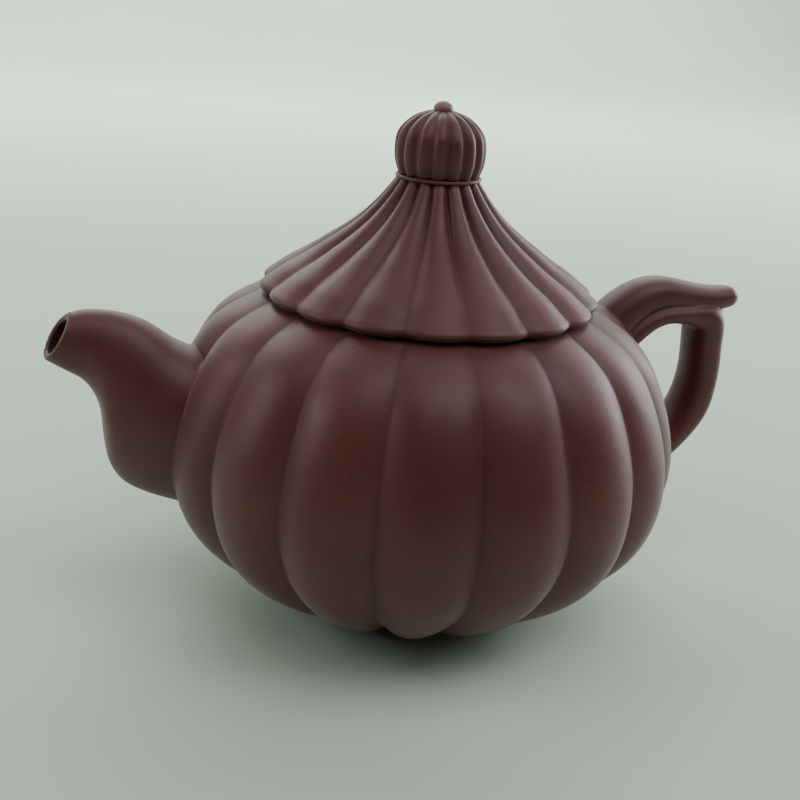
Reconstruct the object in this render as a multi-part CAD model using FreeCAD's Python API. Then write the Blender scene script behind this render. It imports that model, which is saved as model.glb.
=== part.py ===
"""Melon-ribbed clay teapot with a pagoda lid, in millimetres, +Z up.

The origin is on the pot's axis in the plane it stands on. The spout points along -X and the
handle along +X. Every piece is one that the potter shapes by itself and joins with slip.
"""

import FreeCAD
import Part

import math
import os

from FreeCAD import Vector

# ---- driving dimensions ----

RIBS = 18  # lobes round the body, carried on by the lid
RIB_PHASE = 5.7  # degrees from the handle's line to the first groove
WALL = 2.3

# the body's groove line, from the base to the mouth: (radius, height)
BODY_LINE = [
    (20.6, 0.9),
    (25.1, 3.4),
    (31.6, 7.9),
    (37.5, 12.8),
    (44.75, 23.5),
    (46.0, 34.6),
    (43.1, 45.1),
    (37.4, 54.3),
    (29.7, 59.1),
]
BODY_RIB_DEPTHS = (3.8, 2.6, 1.3)  # crest above groove at the base, the belly and the mouth
BODY_SECTIONS = 15
BODY_SEAM_HEIGHT = 28.0  # where the wall's two pressed halves are luted together

BASE_RADIUS = 18.8
BASE_THICKNESS = 3.0
FOOT_OUTER_RADIUS = 20.4
FOOT_INNER_RADIUS = 16.6
FOOT_HEIGHT = 0.9

COLLAR_OUTER_RADIUS = 28.0
COLLAR_INNER_RADIUS = 25.0
COLLAR_HEIGHT = 3.6
COLLAR_ROUNDING = 0.6

FLANGE_CLEARANCE = 0.4  # round the lid's flange in the mouth collar
FLANGE_WALL = 2.6
FLANGE_DROP = 5.4

# the lid's groove line, from its rim to its neck: (radius, height)
LID_LINE = [
    (28.0, 59.45),
    (28.75, 59.95),
    (29.45, 60.55),
    (29.9, 61.1),
    (29.75, 61.5),
    (29.3, 61.8),
    (28.3, 62.4),
    (26.3, 63.8),
    (23.3, 65.6),
    (17.6, 69.3),
    (12.25, 73.6),
    (8.9, 77.4),
    (6.6, 80.8),
]
LID_RIB_DEPTHS = (1.0, 1.6, 0.8)  # at the rim, half way and the neck
LID_SECTIONS = 16
LID_WALL = 2.6
LID_CAVITY_TOP_RADIUS = 4.6
VENT_RADIUS = 0.9
VENT_REACH = 10.0  # from the axis, on the groove nearest to VENT_ANGLE
VENT_ANGLE = 85.7

KNOB_COLLAR_RADIUS = 7.45
KNOB_COLLAR_HEIGHT = 0.6
KNOB_RIBS = 16
KNOB_PHASE = 15.6  # degrees from the handle's line to the first groove
# the knob's groove line, from its collar to its crown: (radius, height)
KNOB_LINE = [
    (6.7, 81.4),
    (7.3, 83.2),
    (7.5, 85.6),
    (6.95, 88.6),
    (5.25, 90.8),
    (3.55, 91.9),
    (1.65, 92.5),
]
KNOB_RIB_DEPTHS = (0.5, 0.7, 0.3)
KNOB_SECTIONS = 10
BEAD_RADIUS = 1.7
BEAD_HALF_HEIGHT = 1.05
BEAD_CENTRE_HEIGHT = 93.05

# the spout's outside, from inside the wall to just beyond the mouth:
# (distance and height of its upper edge, of its lower edge, half its width)
SPOUT_LINE = [
    ((37.5, 48.0), (41.5, 18.8), 12.2),
    ((43.3, 50.1), (45.8, 20.6), 11.6),
    ((46.4, 51.7), (50.5, 22.2), 10.5),
    ((49.4, 53.9), (54.4, 24.1), 9.3),
    ((52.8, 55.7), (57.0, 26.8), 8.1),
    ((55.0, 56.4), (58.3, 30.4), 7.2),
    ((57.0, 56.8), (58.9, 35.8), 6.3),
    ((59.2, 57.0), (59.4, 40.4), 5.5),
    ((60.8, 57.0), (60.6, 43.2), 5.0),
    ((62.2, 56.8), (62.3, 45.1), 4.6),
    ((63.3, 56.4), (64.7, 46.5), 4.35),
    ((64.1, 55.9), (67.9, 48.5), 4.2),
    ((66.8, 57.4), (70.6, 50.0), 4.2),
]
SPOUT_ROOT_WALL = 2.6
SPOUT_LIP_WALL = 1.4
SPOUT_MOUTH_TURN = 10.0  # degrees that the cut mouth is turned off the spout's own plane
SPOUT_MOUTH_RISE = 29.0  # degrees that the mouth looks upwards

SPOUT_MOUTH = (66.0, 52.2)  # distance and height of the middle of the cut mouth

STRAINER_HEIGHT = 37.0
STRAINER_RADIUS = 7.0
STRAINER_WALL = 1.4
STRAINER_SEAT = 45.0  # distance of the dome's flat edge from the axis
STRAINER_SLEEVE = 1.0
STRAINER_HOLE_RADIUS = 0.75
STRAINER_HOLE_PITCH = 2.3

# the handle's centre lines: (distance, height, half thickness, half width)
ARM_LINE = [
    (35.2, 49.9, 4.3, 5.3),
    (37.5, 52.6, 4.3, 5.3),
    (39.9, 55.2, 4.2, 5.1),
    (43.2, 57.9, 3.9, 4.8),
    (47.3, 59.2, 3.65, 4.5),
    (52.0, 58.9, 3.3, 4.2),
    (56.6, 58.4, 2.9, 3.9),
    (60.6, 58.4, 2.45, 3.5),
    (63.4, 58.7, 2.15, 2.9),
    (64.9, 58.85, 1.6, 2.2),
    (65.6, 58.9, 0.8, 1.2),
]
GRIP_LINE = [
    (38.4, 47.7, 2.8, 5.6),
    (43.3, 52.6, 2.4, 5.5),
    (47.5, 55.05, 2.2, 5.4),
    (51.5, 55.3, 2.2, 5.3),
    (55.4, 54.9, 2.8, 5.1),
    (58.5, 53.4, 4.0, 4.9),
    (59.65, 49.6, 3.5, 4.9),
    (60.1, 45.0, 3.4, 4.9),
    (60.05, 41.0, 3.45, 4.9),
    (59.1, 35.7, 3.5, 5.0),
    (56.2, 30.6, 3.2, 5.1),
    (51.9, 26.4, 3.1, 5.3),
    (46.9, 23.7, 3.2, 5.6),
    (42.3, 22.1, 3.4, 5.9),
]

TAU = 2 * math.pi


# ---- shaping helpers ----


def smooth_line(points):
    """The smooth curve through (distance, height) points in the XZ plane."""
    curve = Part.BSplineCurve()
    curve.interpolate([Vector(r, 0, z) for r, z in points])
    return curve


def blend_depth(depths, share):
    """A rib's depth at a share of the way from its lower end to its upper end."""
    low, middle, high = depths
    if share < 0.5:
        return low + (middle - low) * share * 2
    return middle + (high - middle) * (share * 2 - 1)


def smooth_loft(wires):
    """One solid through closed outlines, smooth from each to the next."""
    return Part.makeLoft(wires, True, False, False, 3)


def ring_point(radius, degrees, height):
    angle = math.radians(degrees)
    return Vector(radius * math.cos(angle), radius * math.sin(angle), height)


def ribbed_wire(radius, height, depth, ribs, phase):
    """A level closed outline with one outward arc for each rib and a sharp groove between them."""
    step = 360.0 / ribs
    arcs = []
    for k in range(ribs):
        start = phase + k * step
        groove = ring_point(radius, start, height)
        crest = ring_point(radius + depth, start + step / 2, height)
        next_groove = ring_point(radius, start + step, height)
        arcs.append(Part.Arc(groove, crest, next_groove).toShape())
    return Part.Wire(arcs)


def ribbed_solid(line, depths, ribs, phase, sections):
    """A solid whose grooves follow the line, with ribs that stand out between them."""
    places = smooth_line(line).discretize(Number=sections)
    wires = []
    for k, place in enumerate(places):
        depth = blend_depth(depths, k / (sections - 1))
        wires.append(ribbed_wire(place.x, place.z, depth, ribs, phase))
    return smooth_loft(wires)


def inset_points(line, distance, count):
    """Points on the inner side of a line, a wall's thickness in from it."""
    curve = smooth_line(line)
    first, last = curve.FirstParameter, curve.LastParameter
    points = []
    for k in range(count):
        u = first + (last - first) * k / (count - 1)
        along = curve.tangent(u)[0]
        points.append(curve.value(u) + Vector(-along.z, 0, along.x) * distance)
    return points


def turned_solid(edges):
    """The solid of revolution about the pot's axis of a closed outline of edges."""
    return Part.Face(Part.Wire(edges)).revolve(Vector(0, 0, 0), Vector(0, 0, 1), 360)


def polyline(points):
    return [Part.makeLine(a, b) for a, b in zip(points, points[1:])]


def at(distance, height):
    return Vector(distance, 0, height)


def ring(inner, outer, low, high):
    """A plain ring round the axis between two heights."""
    whole = Part.makeCylinder(outer, high - low, Vector(0, 0, low))
    hole = Part.makeCylinder(inner, high - low, Vector(0, 0, low))
    return whole.cut(hole)


def oval_wire(upper, lower, half_width, points=20):
    """An oval across the XZ plane, from the upper point round the lower one and back."""
    centre = (upper + lower) / 2
    reach = (upper - lower) / 2
    places = []
    for k in range(points):
        angle = TAU * k / points
        sideways = Vector(0, half_width * math.sin(angle), 0)
        places.append(centre + reach * math.cos(angle) + sideways)
    curve = Part.BSplineCurve()
    curve.interpolate(Points=places, PeriodicFlag=True)
    return Part.Wire(curve.toShape())


def spout_solid(inset_root, inset_mouth):
    """The spout's outside, or with insets its bore, which is the same form drawn in."""
    last = len(SPOUT_LINE) - 1
    wires = []
    for k, (upper, lower, half_width) in enumerate(SPOUT_LINE):
        inset = inset_root + (inset_mouth - inset_root) * k / last
        top, bottom = at(-upper[0], upper[1]), at(-lower[0], lower[1])
        drawn_in = (bottom - top).normalize() * inset
        wires.append(oval_wire(top + drawn_in, bottom - drawn_in, half_width - inset))
    return smooth_loft(wires)


def bar_solid(line):
    """A bent bar of oval section along a centre line in the XZ plane."""
    curve = smooth_line([(x, z) for x, z, _, _ in line])
    wires = []
    for x, z, half_thickness, half_width in line:
        centre = at(x, z)
        along = curve.tangent(curve.parameter(centre))[0]
        across = Vector(-along.z, 0, along.x) * half_thickness
        wires.append(oval_wire(centre + across, centre - across, half_width))
    return smooth_loft(wires)


def rounded(shape, radius, wanted):
    """The shape with the edges that the test picks rounded off."""
    return shape.makeFillet(radius, [e for e in shape.Edges if wanted(e)])


# ---- the pieces ----


def body_form():
    """The body's outer form as one full solid."""
    return ribbed_solid(BODY_LINE, BODY_RIB_DEPTHS, RIBS, RIB_PHASE, BODY_SECTIONS)


def body_cavity():
    """All that is hollow inside the body: the base disc's seat, the belly and the mouth."""
    mouth_height = BODY_LINE[-1][1]
    floor = FOOT_HEIGHT + BASE_THICKNESS
    inside = inset_points(BODY_LINE, WALL, 15)
    wall = [p for p in inside if p.z > floor + 1 and p.x > COLLAR_OUTER_RADIUS]
    corner = at(wall[0].x - 4, floor)
    belly = Part.BSplineCurve()
    belly.interpolate([corner, *wall])
    below = FOOT_HEIGHT - 1
    edges = polyline([at(0, below), at(BASE_RADIUS, below), at(BASE_RADIUS, floor), corner])
    edges.append(belly.toShape())
    edges += polyline(
        [
            wall[-1],
            at(COLLAR_OUTER_RADIUS, wall[-1].z),
            at(COLLAR_OUTER_RADIUS, mouth_height + 1),
            at(0, mouth_height + 1),
            at(0, below),
        ]
    )
    return turned_solid(edges)


def strainer_bore():
    return Part.makeCylinder(
        STRAINER_RADIUS, 20, Vector(-STRAINER_SEAT + 8, 0, STRAINER_HEIGHT), Vector(-1, 0, 0)
    )


def make_body_halves(form):
    """The wall's lower bowl and upper shoulder, which meet at the seam."""
    wall = form.cut(body_cavity()).cut(strainer_bore())
    widest = max(radius for radius, _ in BODY_LINE) + max(BODY_RIB_DEPTHS)
    below_seam = Part.makeCylinder(widest, BODY_SEAM_HEIGHT)
    return wall.common(below_seam), wall.cut(below_seam)


def make_base_disc():
    return Part.makeCylinder(BASE_RADIUS, BASE_THICKNESS, Vector(0, 0, FOOT_HEIGHT))


def make_foot_ring():
    return ring(FOOT_INNER_RADIUS, FOOT_OUTER_RADIUS, 0, FOOT_HEIGHT)


def make_mouth_collar():
    top = BODY_LINE[-1][1]
    collar = ring(COLLAR_INNER_RADIUS, COLLAR_OUTER_RADIUS, top - COLLAR_HEIGHT, top)

    def is_inner(edge):
        is_round = isinstance(edge.Curve, Part.Circle)
        return is_round and abs(edge.Curve.Radius - COLLAR_INNER_RADIUS) < 0.01

    return rounded(collar, COLLAR_ROUNDING, is_inner)


def make_strainer():
    """A dome that bulges into the pot, with rows of small holes, on a short sleeve in the wall."""
    outer, inner = STRAINER_RADIUS, STRAINER_RADIUS - STRAINER_WALL
    seat = Vector(-STRAINER_SEAT, 0, STRAINER_HEIGHT)

    def off_seat(inward, up):
        return seat + Vector(inward, 0, up)

    def quarter_arc(radius):
        middle = radius * math.sqrt(0.5)
        return Part.Arc(off_seat(0, radius), off_seat(middle, middle), off_seat(radius, 0)).toShape()

    edges = [quarter_arc(outer), quarter_arc(inner)]
    edges.insert(1, Part.makeLine(off_seat(outer, 0), off_seat(inner, 0)))
    edges += polyline(
        [
            off_seat(0, inner),
            off_seat(-STRAINER_SLEEVE, inner),
            off_seat(-STRAINER_SLEEVE, outer),
            off_seat(0, outer),
        ]
    )
    strainer = Part.Face(Part.Wire(edges)).revolve(seat, Vector(1, 0, 0), 360)
    for y, z in strainer_holes():
        start = seat + Vector(0, y, z)
        hole = Part.makeCylinder(STRAINER_HOLE_RADIUS, outer * 2, start, Vector(1, 0, 0))
        strainer = strainer.cut(hole)
    return strainer


def strainer_holes():
    """The middles of the strainer's holes: one, six round it and twelve round those."""
    places = [(0.0, 0.0)]
    for row, count in ((1, 6), (2, 12)):
        for k in range(count):
            angle = TAU * k / count
            reach = row * STRAINER_HOLE_PITCH
            places.append((reach * math.cos(angle), reach * math.sin(angle)))
    return places


def make_spout(form):
    """The outside less its bore, cut off at the slanting mouth and fitted to the body."""
    spout = spout_solid(0, 0).cut(spout_solid(SPOUT_ROOT_WALL, SPOUT_LIP_WALL))
    mouth = at(-SPOUT_MOUTH[0], SPOUT_MOUTH[1])
    turn, rise = math.radians(SPOUT_MOUTH_TURN), math.radians(SPOUT_MOUTH_RISE)
    level = math.cos(rise)
    facing = Vector(-level * math.cos(turn), -level * math.sin(turn), math.sin(rise))
    trim = Part.makeCylinder(12, 10, mouth, facing)
    return spout.cut(trim).cut(form)


def make_lid_shell():
    bottom, top = LID_LINE[0][1], LID_LINE[-1][1]
    form = ribbed_solid(LID_LINE, LID_RIB_DEPTHS, RIBS, RIB_PHASE, LID_SECTIONS)
    opening = flange_outer_radius() - FLANGE_WALL
    inner = inset_points(LID_LINE, LID_WALL, 15)
    inside = [p for p in inner if LID_CAVITY_TOP_RADIUS < p.x < opening - 1]
    eaves = at(opening, bottom + 1.5)
    vault = Part.BSplineCurve()
    vault.interpolate([eaves, *inside])
    edges = polyline([at(0, bottom - 1), at(opening, bottom - 1), eaves])
    edges.append(vault.toShape())
    edges += polyline([inside[-1], at(0, inside[-1].z + 1.5), at(0, bottom - 1)])
    vent_foot = ring_point(VENT_REACH, VENT_ANGLE, bottom)
    vent = Part.makeCylinder(VENT_RADIUS, top - bottom, vent_foot)
    return form.cut(turned_solid(edges)).cut(vent)


def flange_outer_radius():
    return COLLAR_INNER_RADIUS - FLANGE_CLEARANCE


def make_lid_flange():
    top = LID_LINE[0][1]
    outer = flange_outer_radius()
    return ring(outer - FLANGE_WALL, outer, top - FLANGE_DROP, top)


def make_knob_collar():
    low = LID_LINE[-1][1]
    disc = Part.makeCylinder(KNOB_COLLAR_RADIUS, KNOB_COLLAR_HEIGHT, Vector(0, 0, low))
    return rounded(disc, KNOB_COLLAR_HEIGHT * 0.45, lambda edge: edge.Length > KNOB_COLLAR_HEIGHT * 2)


def make_knob():
    return ribbed_solid(KNOB_LINE, KNOB_RIB_DEPTHS, KNOB_RIBS, KNOB_PHASE, KNOB_SECTIONS)


def make_knob_bead():
    ball = Part.makeSphere(BEAD_RADIUS)
    flatten = FreeCAD.Matrix()
    flatten.scale(1, 1, BEAD_HALF_HEIGHT / BEAD_RADIUS)
    bead = ball.transformGeometry(flatten)
    bead.translate(Vector(0, 0, BEAD_CENTRE_HEIGHT))
    below = Part.makeCylinder(BEAD_RADIUS * 2, 10, Vector(0, 0, KNOB_LINE[-1][1] - 10))
    return bead.cut(below)


def make_handle_arm(form):
    return bar_solid(ARM_LINE).cut(form)


def make_handle_grip(form, arm):
    return bar_solid(GRIP_LINE).cut(form).cut(arm)


def one_solid(shape):
    """The largest solid of a shape, without the crumbs that a cut can leave."""
    return max(shape.Solids, key=lambda s: s.Volume)


def build():
    form = body_form()
    lower_half, upper_half = make_body_halves(form)
    arm = make_handle_arm(form)
    return {
        "body_lower": lower_half,
        "body_upper": upper_half,
        "base_disc": make_base_disc(),
        "foot_ring": make_foot_ring(),
        "mouth_collar": make_mouth_collar(),
        "strainer": make_strainer(),
        "spout": make_spout(form),
        "handle_arm": arm,
        "handle_grip": make_handle_grip(form, arm),
        "lid_shell": make_lid_shell(),
        "lid_flange": make_lid_flange(),
        "knob_collar": make_knob_collar(),
        "knob": make_knob(),
        "knob_bead": make_knob_bead(),
    }


os.makedirs("parts", exist_ok=True)
for name, shape in build().items():
    solid = one_solid(shape)
    solid.exportStep(f"parts/{name}.step")
    print(f"{name}: {len(shape.Solids)} solid, valid {solid.isValid()}, {solid.Volume:.0f} mm3")
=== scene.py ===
"""The looks of the melon-ribbed clay teapot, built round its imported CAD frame.

Shapes are worked out in millimetres and turned to metres when their mesh is made. The pieces
that show are lobed or drawn-out skins of clay, each closed, in the same places as the CAD's.
"""

import math

import bpy
import numpy as np
from mathutils import Matrix, Vector


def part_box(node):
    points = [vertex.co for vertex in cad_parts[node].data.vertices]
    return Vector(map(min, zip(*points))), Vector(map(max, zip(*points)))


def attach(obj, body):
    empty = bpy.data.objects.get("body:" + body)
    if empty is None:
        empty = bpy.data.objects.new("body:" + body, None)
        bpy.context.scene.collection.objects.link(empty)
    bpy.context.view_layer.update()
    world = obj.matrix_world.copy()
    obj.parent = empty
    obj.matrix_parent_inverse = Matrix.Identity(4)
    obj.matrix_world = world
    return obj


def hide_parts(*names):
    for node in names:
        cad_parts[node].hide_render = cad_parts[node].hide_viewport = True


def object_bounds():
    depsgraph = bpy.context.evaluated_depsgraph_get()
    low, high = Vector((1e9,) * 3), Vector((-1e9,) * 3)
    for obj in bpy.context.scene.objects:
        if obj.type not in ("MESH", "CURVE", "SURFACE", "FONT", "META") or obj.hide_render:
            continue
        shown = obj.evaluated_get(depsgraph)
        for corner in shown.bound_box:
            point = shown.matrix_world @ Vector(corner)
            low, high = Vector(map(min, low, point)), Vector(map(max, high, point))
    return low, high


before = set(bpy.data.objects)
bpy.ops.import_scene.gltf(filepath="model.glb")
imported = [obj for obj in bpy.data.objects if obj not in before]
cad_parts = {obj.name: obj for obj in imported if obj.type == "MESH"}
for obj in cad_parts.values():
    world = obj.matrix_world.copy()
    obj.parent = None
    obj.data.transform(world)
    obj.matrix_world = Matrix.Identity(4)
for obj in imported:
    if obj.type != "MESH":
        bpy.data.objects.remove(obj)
cad_low, cad_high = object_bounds()

MM = 0.001

# ---- the forms, in millimetres and degrees, close to the CAD's ----

RIBS = 18
RIB_PHASE = 5.7  # degrees from the handle's line to the first groove
COLUMNS_PER_RIB = 22
LIP = 0.6  # how far the rounded corner of a rim reaches inwards

# The lines down the grooves are rows of (radius, height). Rib depths are how far the crests stand
# out of them at the line's start, middle and end. FULLNESS says how round the lobes are, GROOVE how
# soft the grooves' floors are, and EDGE_SHARE how much of a line goes into its rounded corner.
BODY_LINE = [
    (20.6, 0.9),
    (25.1, 3.4),
    (31.6, 7.9),
    (37.5, 12.8),
    (44.75, 23.5),
    (46.0, 34.6),
    (43.1, 45.1),
    (37.4, 54.3),
    (29.7, 59.1),
]
BODY_RIB_DEPTHS = (3.8, 2.6, 1.3)
BODY_FULLNESS = 2.2
BODY_GROOVE = 0.03
BODY_EDGE_SHARE = 0.012
BODY_WALL = 2.3
SOLE_LIP = 0.7  # as LIP, but where the wall turns in underneath
SEAT_DROP = 1.5  # how far the wall goes down behind the mouth collar before it turns out
LID_LINE = [
    (28.4, 59.45),
    (29.2, 59.8),
    (29.75, 60.2),
    (30.05, 60.65),
    (29.85, 61.15),
    (29.3, 61.65),
    (28.3, 62.35),
    (26.3, 63.8),
    (23.3, 65.6),
    (17.6, 69.3),
    (12.25, 73.6),
    (8.9, 77.4),
    (6.6, 80.8),
]
LID_RIB_DEPTHS = (1.0, 1.6, 0.8)
LID_GROOVE_CUT = 0.5  # how much deeper the grooves are pressed than the CAD's plain ones
LID_FULLNESS = 2.3
LID_GROOVE = 0.06
LID_EDGE_SHARE = 0.015
LID_CUT_RUN = 0.1  # the share of the line over which the deeper cut fades in and out
LID_WALL = 2.6
LID_VAULT_TOP = 4.6  # the radius at which the hollow under the lid ends
FLANGE_WALL = 2.6
VENT_RADIUS = 0.9
VENT_REACH = 10.0  # the air hole's distance from the axis
VENT_ANGLE = 85.7

KNOB_RIBS = 16
KNOB_PHASE = 15.6
KNOB_LINE = [
    (6.7, 81.4),
    (7.3, 83.2),
    (7.5, 85.6),
    (6.95, 88.6),
    (5.25, 90.8),
    (3.55, 91.9),
    (1.65, 92.5),
]
KNOB_RIB_DEPTHS = (0.5, 0.7, 0.3)
KNOB_GROOVE_CUT = 0.3
KNOB_FULLNESS = 2.2
KNOB_GROOVE = 0.12
KNOB_COLUMNS_PER_RIB = 14
COLLAR_PROUD = 0.3  # how far the rolled ring stands outside the CAD's plain one
CORE = 0.4  # the radius of the last ring before a skin closes to a point on the axis
FLAT = 4.0  # the radius of the next ring on a flat top or underside

# the spout: (distance and height of its upper edge, of its lower edge, half its width)
SPOUT_LINE = [
    ((37.5, 48.0), (41.5, 18.8), 12.2),
    ((43.3, 50.1), (45.8, 20.6), 11.6),
    ((46.4, 51.7), (50.5, 22.2), 10.5),
    ((49.4, 53.9), (54.4, 24.1), 9.3),
    ((52.8, 55.7), (57.0, 26.8), 8.1),
    ((55.0, 56.4), (58.3, 30.4), 7.2),
    ((57.0, 56.8), (58.9, 35.8), 6.3),
    ((59.2, 57.0), (59.4, 40.4), 5.5),
    ((60.8, 57.0), (60.6, 43.2), 5.0),
    ((62.2, 56.8), (62.3, 45.1), 4.6),
    ((63.3, 56.4), (64.7, 46.5), 4.35),
    ((64.1, 55.9), (67.9, 48.5), 4.2),
    ((66.8, 57.4), (70.6, 50.0), 4.2),
]
SPOUT_MOUTH = (66.0, 52.2)  # the mouth's middle: distance and height
SPOUT_MOUTH_TURN = 10.0  # degrees that the mouth faces aside
SPOUT_MOUTH_RISE = 29.0  # degrees that it faces up
SPOUT_ROOT_WALL = 2.6
SPOUT_LIP_WALL = 1.05
SPOUT_PAINTED_SHADE = 3.4  # how much shade is painted inside the spout's channel, beside the shade painted into a groove

# the handle's centre lines: (distance, height, half thickness, half width)
ARM_LINE = [
    (35.2, 49.9, 4.3, 5.3),
    (37.5, 52.6, 4.3, 5.3),
    (39.9, 55.2, 4.2, 5.1),
    (43.2, 57.9, 3.9, 4.8),
    (47.3, 59.2, 3.65, 4.5),
    (52.0, 58.9, 3.3, 4.2),
    (56.6, 58.4, 2.9, 3.9),
    (60.6, 58.4, 2.45, 3.5),
    (63.4, 58.7, 2.15, 2.9),
    (65.9, 58.9, 1.9, 2.4),
]
GRIP_LINE = [
    (38.4, 47.9, 2.7, 5.6),
    (43.3, 52.9, 2.3, 5.5),
    (47.5, 55.5, 2.1, 5.4),
    (51.5, 55.9, 2.1, 5.3),
    (55.4, 55.6, 2.6, 5.1),
    (58.75, 54.9, 3.5, 4.9),
    (59.75, 50.6, 3.5, 4.9),
    (60.2, 45.3, 3.45, 4.9),
    (60.05, 41.0, 3.45, 4.9),
    (59.1, 35.7, 3.5, 5.0),
    (56.2, 30.6, 3.2, 5.1),
    (51.9, 26.4, 3.1, 5.3),
    (46.9, 23.7, 3.2, 5.6),
    (42.3, 22.1, 3.4, 5.9),
]
SLIP_FILLET = 0.4  # the run of slip where a part is joined to another
ARM_SQUARENESS = 2.3
ARM_END_ROUNDING = 0.07  # the share of the arm's line that its rounded tip takes
GRIP_SQUARENESS = 2.4
BEND_PASSES = 40
ROOT_DEPTH = 1.2  # how far a joined part reaches into the body's wall

TAU = 2 * math.pi


# ---- curves ----


def spline(points):
    """The natural cubic curve through rows of numbers: a function of the share of the way along it."""
    rows = np.array(points, float)
    steps = np.maximum(np.linalg.norm(np.diff(rows[:, :2], axis=0), axis=1), 1e-6)
    knots = np.concatenate([[0], np.cumsum(steps)])
    count = len(rows)
    system = np.eye(count)
    target = np.zeros_like(rows)
    for k in range(1, count - 1):
        before, after = steps[k - 1], steps[k]
        system[k, k - 1 : k + 2] = before, 2 * (before + after), after
        target[k] = 6 * ((rows[k + 1] - rows[k]) / after - (rows[k] - rows[k - 1]) / before)
    bends = np.linalg.solve(system, target)

    def place(share):
        along = np.asarray(share, float) * knots[-1]
        k = np.clip(np.searchsorted(knots, along, side="right") - 1, 0, count - 2)
        left, right = (along - knots[k])[..., None], (knots[k + 1] - along)[..., None]
        width = steps[k][..., None]
        return (
            (bends[k] * right**3 + bends[k + 1] * left**3) / (6 * width)
            + (rows[k] / width - bends[k] * width / 6) * right
            + (rows[k + 1] / width - bends[k + 1] * width / 6) * left
        )

    return place


def blend_depth(depths, share):
    """The rib depth at a share of the way along a groove's line."""
    return np.interp(share, (0, 0.5, 1), depths)


def lobe_crown(degrees, ribs, phase, fullness, groove_width):
    """How high the lobes stand, from 0 at a groove to 1 at a crest, and how near a groove is."""
    turn = (np.asarray(degrees, float) - phase) * ribs / 360
    across = np.abs(2 * (turn - np.floor(turn)) - 1)
    eased = fullness * groove_width * np.exp((across - 1) / groove_width)
    return 1 - across**fullness + eased, np.exp((across - 1) / (groove_width * 2.5))


def rib_columns(ribs, phase, per_rib):
    """Degrees round the pot, closer together towards each groove."""
    share = (1 - np.cos(np.pi * np.arange(per_rib) / per_rib)) / 2
    return (phase + (np.arange(ribs)[:, None] + share[None, :]) * 360 / ribs).ravel()


def soften_corner(before, corner, after, count=7):
    """A rounded corner's points, from one place on its first side to one on its second."""
    u = np.linspace(0, 1, count)[:, None]
    before, corner, after = (np.array(p, float) for p in (before, corner, after))
    return before * (1 - u) ** 2 + 2 * corner * u * (1 - u) + after * u**2


# ---- meshes ----


def hand_shaping(points, size=0.14):
    """Moves points a little, slowly over the pot, as hand-pressed clay is never quite true."""
    x, y, z = points[..., 0], points[..., 1], points[..., 2]
    shift = np.stack(
        [
            np.sin(0.13 * y + 0.09 * z + 0.4) + 0.5 * np.sin(0.31 * z - 0.17 * y + 1.9),
            np.sin(0.11 * x - 0.12 * z + 2.1) + 0.5 * np.sin(0.27 * z + 0.21 * x + 0.3),
            0.4 * np.sin(0.12 * x + 0.10 * y + 5.2) + 0.2 * np.sin(0.29 * x - 0.26 * y + 4.0),
        ],
        axis=-1,
    )
    return points + shift * size / 1.5


def skin(name, rings, groove=None, looped=False):
    """A closed mesh through rings of points, joined end to end or closed to a point at both ends."""
    rows, columns = rings.shape[:2]
    points = hand_shaping(rings).reshape(-1, 3)
    shade = np.zeros(rows * columns) if groove is None else groove.reshape(-1)
    first = np.arange(rows if looped else rows - 1)[:, None] * columns
    second = (first + columns) % (rows * columns)
    here = np.arange(columns)[None, :]
    there = (here + 1) % columns
    faces = np.stack([first + here, first + there, second + there, second + here], -1).reshape(-1, 4).tolist()
    if not looped:
        ends = [points[:columns].mean(0), points[-columns:].mean(0)]
        low, high = len(points), len(points) + 1
        points = np.vstack([points, ends])
        shade = np.concatenate([shade, [shade[0], shade[-1]]])
        last = (rows - 1) * columns
        for k in range(columns):
            after = (k + 1) % columns
            faces.append([low, after, k])
            faces.append([high, last + k, last + after])
    mesh = bpy.data.meshes.new(name)
    mesh.from_pydata((points * MM).tolist(), [], faces)
    # the groove attribute holds the weight of the shade painted into grooves and the spout's channel, and of
    # the grooves' dullness
    mesh.attributes.new("groove", "FLOAT", "POINT").data.foreach_set("value", shade.astype(np.float32))
    mesh.polygons.foreach_set("use_smooth", np.ones(len(mesh.polygons), bool))
    mesh.update()
    piece = bpy.data.objects.new(name, mesh)
    bpy.context.scene.collection.objects.link(piece)
    face_outwards(piece)
    return piece


def face_outwards(piece):
    """Turns the faces over if they look inwards, which the sign of the mesh's volume tells."""
    mesh = piece.data
    mesh.calc_loop_triangles()
    corners = np.zeros(len(mesh.loop_triangles) * 3, np.int32)
    mesh.loop_triangles.foreach_get("vertices", corners)
    places = np.zeros(len(mesh.vertices) * 3)
    mesh.vertices.foreach_get("co", places)
    a, b, c = places.reshape(-1, 3)[corners.reshape(-1, 3)].transpose(1, 0, 2)
    if np.einsum("ij,ij->i", a, np.cross(b, c)).sum() < 0:
        mesh.flip_normals()


def round_about(line, degrees):
    """Rings from an outline of rows (radius, height), or of radii for every column."""
    radii, heights = line
    angles = np.radians(degrees)
    radii = np.broadcast_to(radii, (len(heights), len(angles)))
    return np.stack(
        [radii * np.cos(angles), radii * np.sin(angles), np.repeat(heights[:, None], len(angles), 1)], -1
    )


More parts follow.
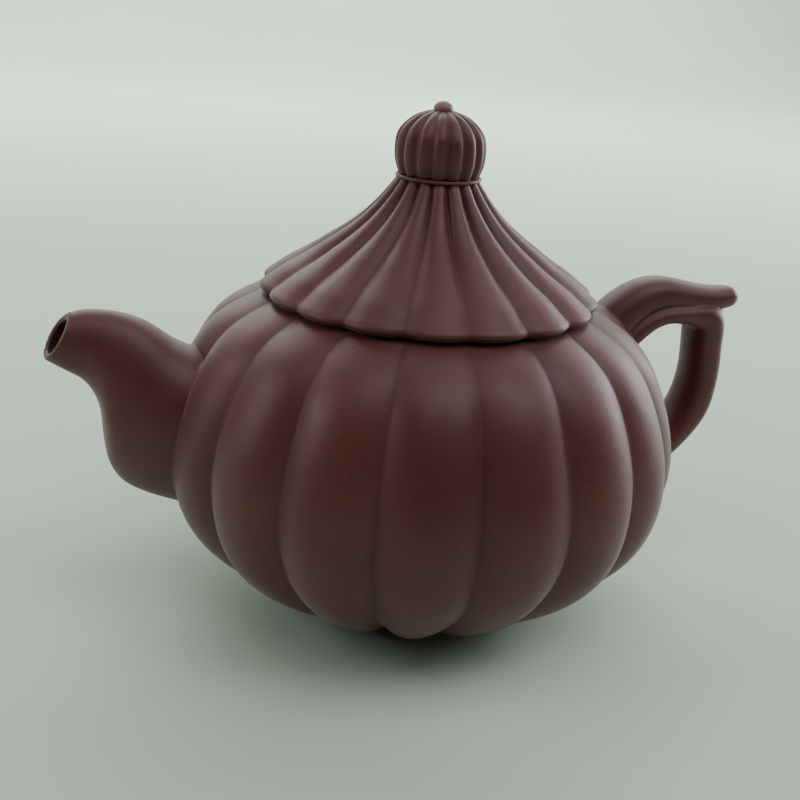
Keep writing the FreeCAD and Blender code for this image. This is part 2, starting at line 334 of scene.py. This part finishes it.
def bore(piece, start, direction, radius, length):
    """Cuts a round hole through a piece."""
    turn = Vector(direction).to_track_quat("Z", "Y").to_matrix().to_4x4()
    angles = np.linspace(0, TAU, 32, endpoint=False)
    rim = np.stack([np.cos(angles) * radius, np.sin(angles) * radius], -1)
    rings = np.stack([np.column_stack([rim, np.full(len(rim), h)]) for h in (0, length)])
    drill = skin("drill", rings)
    drill.data.transform(Matrix.Translation(Vector(start) * MM) @ turn)
    cutter = piece.modifiers.new("bore", "BOOLEAN")
    cutter.object = drill
    cutter.solver = "EXACT"
    settled = bpy.data.meshes.new_from_object(piece.evaluated_get(bpy.context.evaluated_depsgraph_get()))
    piece.modifiers.clear()
    piece.data = settled
    bpy.data.objects.remove(drill)
    piece.data.set_sharp_from_angle(angle=math.radians(50))


# ---- the body ----

body_curve = spline(BODY_LINE)
body_shares = np.linspace(0, 1, 600)
body_places = body_curve(body_shares)


def body_radius(degrees, height):
    """The body's outer radius at places round it, and the cosine of its slope there."""
    groove = np.interp(height, body_places[:, 1], body_places[:, 0])
    depth = np.interp(height, body_places[:, 1], blend_depth(BODY_RIB_DEPTHS, body_shares))
    run = np.gradient(body_places[:, 0], body_places[:, 1])
    steepness = 1 / np.sqrt(1 + np.interp(height, body_places[:, 1], run) ** 2)
    crown, _ = lobe_crown(degrees, RIBS, RIB_PHASE, BODY_FULLNESS, BODY_GROOVE)
    return groove + depth * crown, steepness


def above_body(points):
    """How far points are outside the body's surface, about."""
    degrees = np.degrees(np.arctan2(points[..., 1], points[..., 0]))
    radius, steepness = body_radius(degrees, points[..., 2])
    return (np.hypot(points[..., 0], points[..., 1]) - radius) * steepness


def lobed_skin(name, outline, depths, degrees, ribs, phase, fullness, groove_width, looped=False):
    """A skin whose outline rows are (radius, height), with a rib depth for each row."""
    crown, near = lobe_crown(degrees, ribs, phase, fullness, groove_width)
    radii = outline[:, :1] + depths[:, None] * crown[None, :]
    # the weight of the shade painted into a groove, by how near and how deep the groove is
    groove = near[None, :] * np.clip(depths[:, None], 0, 1)
    return skin(name, round_about((radii, outline[:, 1]), degrees), groove, looped)


def inset(line, distance):
    """A line moved inwards by a wall's thickness."""
    run = np.gradient(line, axis=0)
    run /= np.linalg.norm(run, axis=1)[:, None]
    return line + np.column_stack([-run[:, 1], run[:, 0]]) * distance


def make_body():
    """The ribbed wall outside and the plain one inside, as one skin round the mouth and the base."""
    _, base_high = (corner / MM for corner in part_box("base_disc"))
    _, collar_high = (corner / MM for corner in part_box("mouth_collar"))
    base_radius, floor = base_high.x, base_high.z
    seat_radius, mouth = collar_high.x, collar_high.z
    shares = np.linspace(BODY_EDGE_SHARE, 1 - BODY_EDGE_SHARE, 130)
    wall = body_curve(shares)
    depths = blend_depth(BODY_RIB_DEPTHS, shares)
    edge, foot = np.array(BODY_LINE[-1]), np.array(BODY_LINE[0])
    rim = soften_corner(wall[-1], edge, edge - (LIP, 0))
    sole = soften_corner(foot - (SOLE_LIP, 0), foot, wall[0])
    inner = inset(body_curve(np.linspace(0, 1, 60)), BODY_WALL)
    inner = inner[(inner[:, 1] > floor + 1) & (inner[:, 0] > seat_radius)]
    inside = spline([(inner[0][0] - 4, floor), *inner[::8]])(np.linspace(0, 1, 40))[::-1]
    hidden = [
        (seat_radius, mouth),
        (seat_radius, mouth - SEAT_DROP),
        (seat_radius, inside[0][1] + 0.2),
        *inside,
        (base_radius + 0.5, floor),
        (base_radius, floor),
        (base_radius, foot[1]),
    ]
    outline = np.vstack([sole, wall[1:-1], rim, hidden])
    rib_depths = np.concatenate(
        [
            np.full(len(sole), depths[0]),
            depths[1:-1],
            np.full(len(rim), depths[-1]),
            np.zeros(len(hidden)),
        ]
    )
    degrees = rib_columns(RIBS, RIB_PHASE, COLUMNS_PER_RIB)
    shell = lobed_skin(
        "clay_body", outline, rib_depths, degrees, RIBS, RIB_PHASE, BODY_FULLNESS, BODY_GROOVE, looped=True
    )
    strainer_low, strainer_high = (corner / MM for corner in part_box("strainer"))
    middle = (strainer_low + strainer_high) / 2
    bore(shell, (-30, 0, middle.z), (-1, 0, 0), (strainer_high.z - strainer_low.z) / 2, 30)
    return shell


# ---- joined parts: rails run along them, from inside the body's wall outwards ----


def rail_start(rails, depth):
    """For each rail, the share along it where it is last this deep in the body."""
    shares = np.linspace(0, 1, 400)
    starts = []
    for angle_rail in rails(shares):
        inside = np.nonzero(above_body(angle_rail) < -depth)[0]
        starts.append(shares[inside[-1]] if len(inside) else 0.0)
    return np.array(starts)


def with_fillet(points, outwards, height_above=above_body):
    """Spreads points sideways where they are close to another form, as slip spreads round a join."""
    gap = np.clip(height_above(points), 0, SLIP_FILLET)
    spread = SLIP_FILLET - np.sqrt(SLIP_FILLET**2 - (SLIP_FILLET - gap) ** 2)
    return points + outwards * spread[..., None]


def oval(angles, squareness=2.0):
    """Points of an oval one unit across each way, fuller at its corners as squareness grows."""
    c, s = np.cos(angles), np.sin(angles)
    stretch = (np.abs(c) ** squareness + np.abs(s) ** squareness) ** (-1 / squareness)
    return c * stretch, s * stretch


def oval_rails(sections, angles, squareness=2.0):
    """A function from shares to the rails along a row of oval sections, and one to the ways out of it.

    sections gives, for shares, each oval's middle, its up direction, and half its height and width.
    """
    across, along = (part[:, None] for part in oval(angles, squareness))
    aside = np.array([0, 1, 0])

    def rails(shares):
        centre, up, half_height, half_width = sections(shares)
        return centre + up * (half_height * across)[..., None] + aside * (half_width * along)[..., None]

    def outwards(shares):
        _, up, half_height, half_width = sections(shares)
        way = up * (half_width * across)[..., None] + aside * (half_height * along)[..., None]
        return way / np.maximum(np.linalg.norm(way, axis=-1, keepdims=True), 1e-9)

    return rails, outwards


spout_curve = spline([(*upper, *lower, half_width) for upper, lower, half_width in SPOUT_LINE])


def spout_rails(angles, inset_root, inset_mouth):
    """The spout's rails, drawn in from its outside by one distance at its root and another at its mouth."""

    def sections(shares):
        rows = spout_curve(shares)
        top = np.column_stack([-rows[:, 0], np.zeros(len(rows)), rows[:, 1]])
        bottom = np.column_stack([-rows[:, 2], np.zeros(len(rows)), rows[:, 3]])
        drawn_in = inset_root + (inset_mouth - inset_root) * np.asarray(shares)
        half_height = np.linalg.norm(top - bottom, axis=1) / 2
        up = (top - bottom) / (2 * half_height[:, None])
        return (top + bottom) / 2, up, half_height - drawn_in, rows[:, 4] - drawn_in

    return oval_rails(sections, angles)


def pick(rails, shares):
    """Points of each rail at its own shares: a function of shares is asked for one rail at a time."""
    return np.stack([rails(row)[k] for k, row in enumerate(shares)])


def make_spout():
    """The spout's outside and its channel, joined round the mouth's lip and, in the wall, at the root."""
    columns = 96
    angles = np.linspace(0, TAU, columns, endpoint=False)
    turn, rise = math.radians(SPOUT_MOUTH_TURN), math.radians(SPOUT_MOUTH_RISE)
    facing = np.array(
        [-math.cos(rise) * math.cos(turn), -math.cos(rise) * math.sin(turn), math.sin(rise)]
    )
    mouth = np.array([-SPOUT_MOUTH[0], 0, SPOUT_MOUTH[1]])

    def mouth_share(rails, back):
        shares = np.linspace(0.5, 1, 400)
        beyond = (rails(shares) - mouth) @ facing > -back
        return shares[np.argmax(beyond, axis=1)]

    lip = SPOUT_LIP_WALL / 2
    outer, outer_ways = spout_rails(angles, 0, 0)
    inner, _ = spout_rails(angles, SPOUT_ROOT_WALL, SPOUT_LIP_WALL)
    start, end = rail_start(outer, ROOT_DEPTH), mouth_share(outer, lip)
    u = np.linspace(0, 1, 90) ** 1.7
    shares = start[:, None] + (end - start)[:, None] * u[None]
    outside = with_fillet(pick(outer, shares), pick(outer_ways, shares))
    inner_start, inner_end = rail_start(inner, ROOT_DEPTH), mouth_share(inner, lip)
    back = np.linspace(1, 0, 50)
    inside = pick(inner, inner_start[:, None] + (inner_end - inner_start)[:, None] * back[None])
    rim_angles = np.linspace(0, math.pi, 9)[1:-1]
    middle = (outside[:, -1] + inside[:, 0]) / 2
    half = (outside[:, -1] - inside[:, 0]) / 2
    rim = (
        middle[:, None]
        + half[:, None] * np.cos(rim_angles)[None, :, None]
        + facing * (lip * np.sin(rim_angles))[None, :, None]
    )
    rings = np.concatenate([outside, rim, inside], axis=1).transpose(1, 0, 2)
    # painted shade: the inside of the channel is painted dark where shade falls
    channel_shade = np.repeat([0, SPOUT_PAINTED_SHADE], [outside.shape[1] + len(rim_angles), inside.shape[1]])
    return skin("clay_spout", rings, np.repeat(channel_shade[:, None], columns, 1), looped=True)


def bar_rails(line, angles, squareness, end_rounding=0.0):
    """Rails along a bent bar of oval section, whose free end is rounded over a share of its length."""
    curve = spline(line)

    def sections(shares):
        shares = np.asarray(shares, float)
        rows = curve(shares)
        step = 1e-4
        ahead = curve(np.minimum(shares + step, 1)) - curve(np.maximum(shares - step, 0))
        along = ahead[:, :2] / np.linalg.norm(ahead[:, :2], axis=1)[:, None]
        up = np.column_stack([-along[:, 1], np.zeros(len(rows)), along[:, 0]])
        centre = np.column_stack([rows[:, 0], np.zeros(len(rows)), rows[:, 1]])
        left = np.clip((1 - shares) / max(end_rounding, 1e-9), 0, 1)
        taper = np.sqrt(np.clip(1 - (1 - left) ** 2, 0, 1)) if end_rounding else np.ones(len(rows))
        return centre, up, rows[:, 2] * taper, rows[:, 3] * taper

    return oval_rails(sections, angles, squareness)


def above_bar(line, squareness):
    """A function that says how far points are outside a bent bar, about."""
    rows = spline(line)(np.linspace(0, 1, 240))

    def height_above(points):
        spans = np.linalg.norm(points[..., None, [0, 2]] - rows[:, :2], axis=-1)
        nearest = rows[spans.argmin(-1)]
        up, aside = spans.min(-1), np.abs(points[..., 1])
        filled = (up / nearest[..., 2]) ** squareness + (aside / nearest[..., 3]) ** squareness
        return np.hypot(up, aside) * (1 - np.maximum(filled, 1e-6) ** (-1 / squareness))

    return height_above


def make_handle_arm():
    """The upper bar, from the body out to its rounded tip."""
    angles = np.linspace(0, TAU, 64, endpoint=False)
    rails, ways = bar_rails(ARM_LINE, angles, ARM_SQUARENESS, ARM_END_ROUNDING)
    start = rail_start(rails, ROOT_DEPTH)
    # rings are closer together at the root's fillet and at the rounded tip
    u = (1 - (1 - np.linspace(0, 1, 110)) ** 1.3) ** 1.5
    tip = 0.9999  # just short of the end, where the section shrinks to nothing
    shares = start[:, None] + (tip - start)[:, None] * u[None]
    points = with_fillet(pick(rails, shares), pick(ways, shares))
    return skin("clay_handle_arm", points.transpose(1, 0, 2))


def ease_bend(rails, angles):
    """Evens out the rails on a bend's inner side, so that they don't fold over one another."""
    share = ((1 - np.cos(angles)) / 2)[:, None, None]
    for _ in range(BEND_PASSES):
        rails[:, 1:-1] += share * (rails[:, :-2] - 2 * rails[:, 1:-1] + rails[:, 2:]) / 4
    return rails


def make_handle_grip():
    """The strap, from the body along under the arm, down, and back into the body."""
    angles = np.linspace(0, TAU, 64, endpoint=False)
    rails, ways = bar_rails(GRIP_LINE, angles, GRIP_SQUARENESS)
    shares = np.linspace(0, 1, 400)
    starts, ends = [], []
    for rail in rails(shares):
        outside = np.nonzero(above_body(rail) > -ROOT_DEPTH)[0]
        starts.append(shares[outside[0]])
        ends.append(shares[outside[-1]])
    starts, ends = np.array(starts), np.array(ends)
    u = (1 - np.cos(np.pi * np.linspace(0, 1, 160))) / 2
    grid = starts[:, None] + (ends - starts)[:, None] * u[None]
    out = pick(ways, grid)
    points = with_fillet(ease_bend(pick(rails, grid), angles), out)
    points = with_fillet(points, out, above_bar(ARM_LINE, ARM_SQUARENESS))
    return skin("clay_handle_grip", points.transpose(1, 0, 2))


# ---- the lid and its knob ----


def make_lid_shell():
    """The ribbed lid and the hollow under it, with the air hole."""
    curve = spline(LID_LINE)
    shares = np.linspace(LID_EDGE_SHARE, 1, 110)
    fade_in = np.clip((shares - LID_EDGE_SHARE) / LID_CUT_RUN, 0, 1)
    cut = LID_GROOVE_CUT * fade_in * np.clip((1 - shares) / LID_CUT_RUN, 0, 1)
    wall = curve(shares) - np.column_stack([cut, np.zeros(len(cut))])
    depths = blend_depth(LID_RIB_DEPTHS, shares) + cut
    edge, neck = np.array(LID_LINE[0]), np.array(LID_LINE[-1])
    rim = soften_corner(edge - (LIP, 0), edge, wall[0])
    _, flange_high = (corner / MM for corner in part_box("lid_flange"))
    opening = flange_high.x - FLANGE_WALL
    vault = inset(curve(np.linspace(0, 1, 60)), LID_WALL)
    vault = vault[(vault[:, 0] > LID_VAULT_TOP) & (vault[:, 0] < opening - 1)]
    inside = spline([(opening, edge[1] + 1.5), *vault[::9], vault[-1]])(np.linspace(0, 1, 36))[::-1]
    hidden = [
        (CORE, inside[0][1] + 1.5),
        (inside[0][0] - 0.3, inside[0][1] + 1.4),
        *inside,
        (opening, edge[1] + 0.3),
        (opening + 0.2, edge[1]),
        (flange_high.x + 1, edge[1]),
    ]
    top = [(neck[0] - 1, neck[1]), (CORE, neck[1])]
    outline = np.vstack([hidden, rim, wall[1:], top])
    rib_depths = np.concatenate(
        [
            np.zeros(len(hidden)),
            np.full(len(rim), depths[0]),
            depths[1:],
            np.zeros(len(top)),
        ]
    )
    degrees = rib_columns(RIBS, RIB_PHASE, COLUMNS_PER_RIB)
    lid = lobed_skin("clay_lid", outline, rib_depths, degrees, RIBS, RIB_PHASE, LID_FULLNESS, LID_GROOVE)
    vent = math.radians(VENT_ANGLE)
    foot = (VENT_REACH * math.cos(vent), VENT_REACH * math.sin(vent), edge[1])
    bore(lid, foot, (0, 0, 1), VENT_RADIUS, neck[1] - edge[1])
    return lid


def make_knob():
    """The ribbed ball with its flat underside."""
    curve = spline(KNOB_LINE)
    shares = np.linspace(0, 1, 60)
    wall = curve(shares) - (KNOB_GROOVE_CUT, 0)
    depths = blend_depth(KNOB_RIB_DEPTHS, shares) + KNOB_GROOVE_CUT
    outline = np.vstack([[(CORE, wall[0][1]), (FLAT, wall[0][1])], wall, [(1.0, wall[-1][1] + 0.1)]])
    depths = np.concatenate([[0, 0], depths, [0]])
    degrees = rib_columns(KNOB_RIBS, KNOB_PHASE, KNOB_COLUMNS_PER_RIB)
    return lobed_skin(
        "clay_knob", outline, depths, degrees, KNOB_RIBS, KNOB_PHASE, KNOB_FULLNESS, KNOB_GROOVE
    )


def make_knob_collar():
    """The rolled ring that the knob sits on."""
    low, high = (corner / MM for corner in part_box("knob_collar"))
    turns = np.linspace(-math.pi / 2, math.pi / 2, 12)
    half = (high.z - low.z) / 2
    centre = high.x + COLLAR_PROUD - half
    edge = np.column_stack([centre + half * np.cos(turns), low.z + half + half * np.sin(turns)])
    outline = np.vstack([[(CORE, low.z), (FLAT, low.z)], edge, [(FLAT, high.z), (CORE, high.z)]])
    degrees = np.linspace(0, 360, 96, endpoint=False)
    return skin("clay_knob_collar", round_about((outline[:, :1], outline[:, 1]), degrees))


def make_knob_bead():
    """The flattened bead on top."""
    low, high = (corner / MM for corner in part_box("knob_bead"))
    radius = (high.x - low.x) / 2
    turns = np.linspace(-0.35, math.pi / 2 - 0.03, 20)
    centre = low.z + 0.35
    outline = np.column_stack([radius * np.cos(turns), centre + (high.z - centre) * np.sin(turns)])
    degrees = np.linspace(0, 360, 48, endpoint=False)
    return skin("clay_knob_bead", round_about((outline[:, :1], outline[:, 1]), degrees))


# ---- clay ----


class Nodes:
    """Makes and joins shader nodes with few words."""

    def __init__(self, name):
        self.material = bpy.data.materials.new(name)
        self.material.use_nodes = True
        self.tree = self.material.node_tree
        self.shader = self.tree.nodes["Principled BSDF"]

    def add(self, kind, inputs=None, **settings):
        node = self.tree.nodes.new(kind)
        for key, value in settings.items():
            setattr(node, key, value)
        for key, value in (inputs or {}).items():
            socket = node.inputs[key]
            if isinstance(value, bpy.types.NodeSocket):
                self.tree.links.new(value, socket)
            else:
                socket.default_value = value
        return node

    def ramp(self, source, stops):
        node = self.add("ShaderNodeValToRGB", {"Fac": source})
        elements = node.color_ramp.elements
        while len(elements) < len(stops):
            elements.new(1.0)
        for element, (place, colour) in zip(elements, stops):
            element.position = place
            element.color = (*colour, 1)
        return node.outputs["Color"]

    def mix(self, share, first, second, blend="MIX"):
        node = self.add("ShaderNodeMix", {"Factor": share}, data_type="RGBA", blend_type=blend)
        for socket, value in ((node.inputs[6], first), (node.inputs[7], second)):
            if isinstance(value, bpy.types.NodeSocket):
                self.tree.links.new(value, socket)
            else:
                socket.default_value = (*value, 1)
        return node.outputs[2]

    def math(self, operation, first, second=0.0, clamp=False):
        return self.add(
            "ShaderNodeMath", {0: first, 1: second}, operation=operation, use_clamp=clamp
        ).outputs[0]


GRAIN_SCALE = 2600.0
GRAIN_SIZE = 0.36  # of the cell that a grain lies in
DARK_GRAINS = 0.10  # the share of cells that hold a dark grain
LIGHT_GRAINS = 0.994  # cells numbered above this hold a light one
# how strongly shade is painted into the colour down in the grooves
GROOVE_PAINTED_SHADE = 0.25
GROOVE_DULLING = 0.12


def clay(name, deep, pale, roughness=0.5):
    """Fired unglazed clay: uneven brown and sandy, with shade painted darker down in the grooves, which are
    also duller.
    """
    n = Nodes(name)
    place = n.add("ShaderNodeTexCoord").outputs["Object"]

    def noise(scale, detail=3.0, rough=0.5):
        return n.add(
            "ShaderNodeTexNoise", {"Vector": place, "Scale": scale, "Detail": detail, "Roughness": rough}
        ).outputs["Fac"]

    clouds = n.ramp(noise(55, 4), [(0.35, deep), (0.65, pale)])
    grains = n.add("ShaderNodeTexVoronoi", {"Vector": place, "Scale": GRAIN_SCALE})
    cell = n.add("ShaderNodeSeparateColor", {"Color": grains.outputs["Color"]}).outputs[0]
    in_grain = n.math("LESS_THAN", grains.outputs["Distance"], GRAIN_SIZE)
    light_grain = n.math("MULTIPLY", n.math("GREATER_THAN", cell, LIGHT_GRAINS), in_grain)
    dark_grain = n.math("MULTIPLY", n.math("LESS_THAN", cell, DARK_GRAINS), in_grain)
    sandy = n.mix(n.math("MULTIPLY", dark_grain, 0.35), clouds, tuple(c * 0.35 for c in deep))
    sandy = n.mix(n.math("MULTIPLY", light_grain, 0.3), sandy, tuple(min(1, c * 3 + 0.05) for c in pale))
    groove = n.add("ShaderNodeAttribute", attribute_name="groove").outputs["Fac"]
    # painted shade: the grooves and the spout's channel are painted towards a darker brown
    colour = n.mix(n.math("MULTIPLY", groove, GROOVE_PAINTED_SHADE), sandy, tuple(c * 0.3 for c in deep))
    n.tree.links.new(colour, n.shader.inputs["Base Color"])

    dullness = n.math("MULTIPLY", n.math("SUBTRACT", noise(140, 3), 0.5), 0.18)
    dullness = n.math("ADD", dullness, n.math("MULTIPLY", groove, GROOVE_DULLING))
    n.tree.links.new(n.math("ADD", dullness, roughness), n.shader.inputs["Roughness"])

    fine = n.math("MULTIPLY", noise(GRAIN_SCALE, 2), 0.5)
    height = n.math("ADD", fine, n.math("MULTIPLY", noise(420, 3), 0.8))
    height = n.math("ADD", height, n.math("MULTIPLY", in_grain, n.math("MULTIPLY", cell, 0.25)))
    bump = n.add("ShaderNodeBump", {"Height": height, "Strength": 0.35, "Distance": 0.00006})
    n.tree.links.new(bump.outputs["Normal"], n.shader.inputs["Normal"])
    n.shader.inputs["Specular IOR Level"].default_value = 0.55
    n.shader.inputs["Sheen Weight"].default_value = 0.2
    n.shader.inputs["Sheen Roughness"].default_value = 0.35
    return n.material


def floor_material():
    """A matt, pale and barely cloudy green-grey."""
    n = Nodes("pale_floor")
    place = n.add("ShaderNodeTexCoord").outputs["Object"]
    clouds = n.add("ShaderNodeTexNoise", {"Vector": place, "Scale": 6.0, "Detail": 3.0}).outputs["Fac"]
    colour = n.ramp(clouds, [(0.3, (0.54, 0.655, 0.54)), (0.7, (0.57, 0.685, 0.57))])
    n.tree.links.new(colour, n.shader.inputs["Base Color"])
    n.shader.inputs["Roughness"].default_value = 0.9
    n.shader.inputs["Specular IOR Level"].default_value = 0.2
    return n.material


# ---- putting it together ----

# each clay's deeper and paler colour
SHADES = {
    "clay": ((0.074, 0.0086, 0.0080), (0.099, 0.0163, 0.0145)),
    "bead": ((0.20, 0.105, 0.10), (0.26, 0.15, 0.14)),
}
clay_material = clay("zisha_clay", *SHADES["clay"])
inner_material = clay("inner_clay", *SHADES["clay"], roughness=0.62)
bead_material = clay("bead_clay", *SHADES["bead"])

# each new piece: how it is made, the nodes it stands for, its body, its slot and its material
NEW_PIECES = [
    (make_body, ("body_lower", "body_upper"), "pot", "clay", clay_material),
    (make_spout, ("spout",), "pot", "clay", clay_material),
    (make_handle_arm, ("handle_arm",), "pot", "clay", clay_material),
    (make_handle_grip, ("handle_grip",), "pot", "clay", clay_material),
    (make_lid_shell, ("lid_shell",), "lid", "clay", clay_material),
    (make_knob_collar, ("knob_collar",), "lid", "clay", clay_material),
    (make_knob, ("knob",), "lid", "clay", clay_material),
    (make_knob_bead, ("knob_bead",), "lid", "bead_clay", bead_material),
]
for make, nodes, body, slot, material in NEW_PIECES:
    piece = make()
    piece.data.materials.clear()
    piece.data.materials.append(material)
    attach(piece, body)
    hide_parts(*nodes)

for node in ("base_disc", "foot_ring", "mouth_collar", "strainer", "lid_flange"):
    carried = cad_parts[node]
    carried.data.materials.clear()
    carried.data.materials.append(inner_material)


# ---- floor, lights and camera, in metres, degrees and watts ----

FLOOR_REACH = 3.0  # to either side and towards the viewer
BACKDROP_REACH = 2.2  # how far behind the pot the backdrop stands
BACKDROP_BEND = 0.9
BACKDROP_HEIGHT = 3.0

# the way to the camera, how it is turned about its own line of sight, and what it looks at
CAMERA_AZIMUTH, CAMERA_ELEVATION, CAMERA_DISTANCE = -17.0, 21.085, 0.19423
CAMERA_ROLL = 4.28
CAMERA_AIM = Vector((-0.00356, 0.00109, 0.03798))
CAMERA_LENS, CAMERA_SENSOR = 45.17, 36  # millimetres

WORLD_COLOUR = (0.9, 0.95, 1.0, 1)
WORLD_STRENGTH = 0.06

# each light: azimuth, elevation, distance, (width, height), power
LIGHTS = {
    "overhead": (172, 40, 1.3, (1.8, 0.9), 14),
    "window": (110, 13, 1.0, (0.6, 0.5), 7),
    "right_fill": (55, 50, 1.0, (0.5, 0.5), 2.2),
    "left_window": (-97, 28, 1.0, (0.5, 0.5), 2.9),
    "front_fill": (10, 72, 1.5, (1.4, 1.0), 8.5),
}
BACKDROP_LIGHT = (10, 40, 1.6, (2.5, 1.0), 50)  # the same, but round the foot of the backdrop


def make_floor():
    """A pale floor that curves up far behind the pot."""
    reach, bend, side = BACKDROP_REACH, BACKDROP_BEND, FLOOR_REACH
    rows = [(-side, 0.0), (reach - bend, 0.0)]
    rows += [
        (reach - bend + bend * math.sin(t), bend - bend * math.cos(t))
        for t in np.linspace(0.1, math.pi / 2, 14)
    ]
    rows.append((reach, BACKDROP_HEIGHT))
    points = [(x, y, z) for y, z in rows for x in (-side, side)]
    faces = [(2 * k, 2 * k + 1, 2 * k + 3, 2 * k + 2) for k in range(len(rows) - 1)]
    mesh = bpy.data.meshes.new("floor")
    mesh.from_pydata(points, [], faces)
    mesh.materials.append(floor_material())
    mesh.polygons.foreach_set("use_smooth", np.ones(len(faces), bool))
    floor = bpy.data.objects.new("floor", mesh)
    bpy.context.scene.collection.objects.link(floor)


def look_from(azimuth, elevation):
    """The way from the pot towards a viewer."""
    a, e = math.radians(azimuth), math.radians(elevation)
    return Vector((math.sin(a) * math.cos(e), -math.cos(a) * math.cos(e), math.sin(e)))


def area_light(name, aim, azimuth, elevation, distance, size, power):
    """A rectangular lamp that faces a place from one way and distance."""
    light = bpy.data.lights.new(name, "AREA")
    light.shape = "RECTANGLE"
    light.size, light.size_y = size
    light.energy = power
    lamp = bpy.data.objects.new(name, light)
    back = look_from(azimuth, elevation)
    lamp.location = aim + back * distance
    lamp.rotation_euler = back.to_track_quat("Z", "Y").to_euler()
    bpy.context.scene.collection.objects.link(lamp)


def make_camera():
    """A camera that sees the pot from the side that its spout and handle show on."""
    azimuth, roll = math.radians(CAMERA_AZIMUTH), math.radians(CAMERA_ROLL)
    back = look_from(CAMERA_AZIMUTH, CAMERA_ELEVATION)
    right = Vector((math.cos(azimuth), math.sin(azimuth), 0))
    up = back.cross(right)
    turned_right = right * math.cos(roll) + up * math.sin(roll)
    turned_up = up * math.cos(roll) - right * math.sin(roll)
    data = bpy.data.cameras.new("camera")
    data.lens, data.sensor_width = CAMERA_LENS, CAMERA_SENSOR
    data.clip_start = 0.01
    camera = bpy.data.objects.new("camera", data)
    camera.matrix_world = Matrix.Translation(CAMERA_AIM + back * CAMERA_DISTANCE) @ (
        Matrix((turned_right, turned_up, back)).transposed().to_4x4()
    )
    bpy.context.scene.collection.objects.link(camera)
    bpy.context.scene.camera = camera


def make_world():
    """A dim, slightly cool room."""
    world = bpy.data.worlds.new("studio")
    world.use_nodes = True
    background = world.node_tree.nodes["Background"]
    background.inputs["Color"].default_value = WORLD_COLOUR
    background.inputs["Strength"].default_value = WORLD_STRENGTH
    bpy.context.scene.world = world


make_floor()
make_world()
for light_name, setting in LIGHTS.items():
    area_light(light_name, (cad_low + cad_high) / 2, *setting)
area_light("backdrop", Vector((0, BACKDROP_REACH, 0)), *BACKDROP_LIGHT)
make_camera()
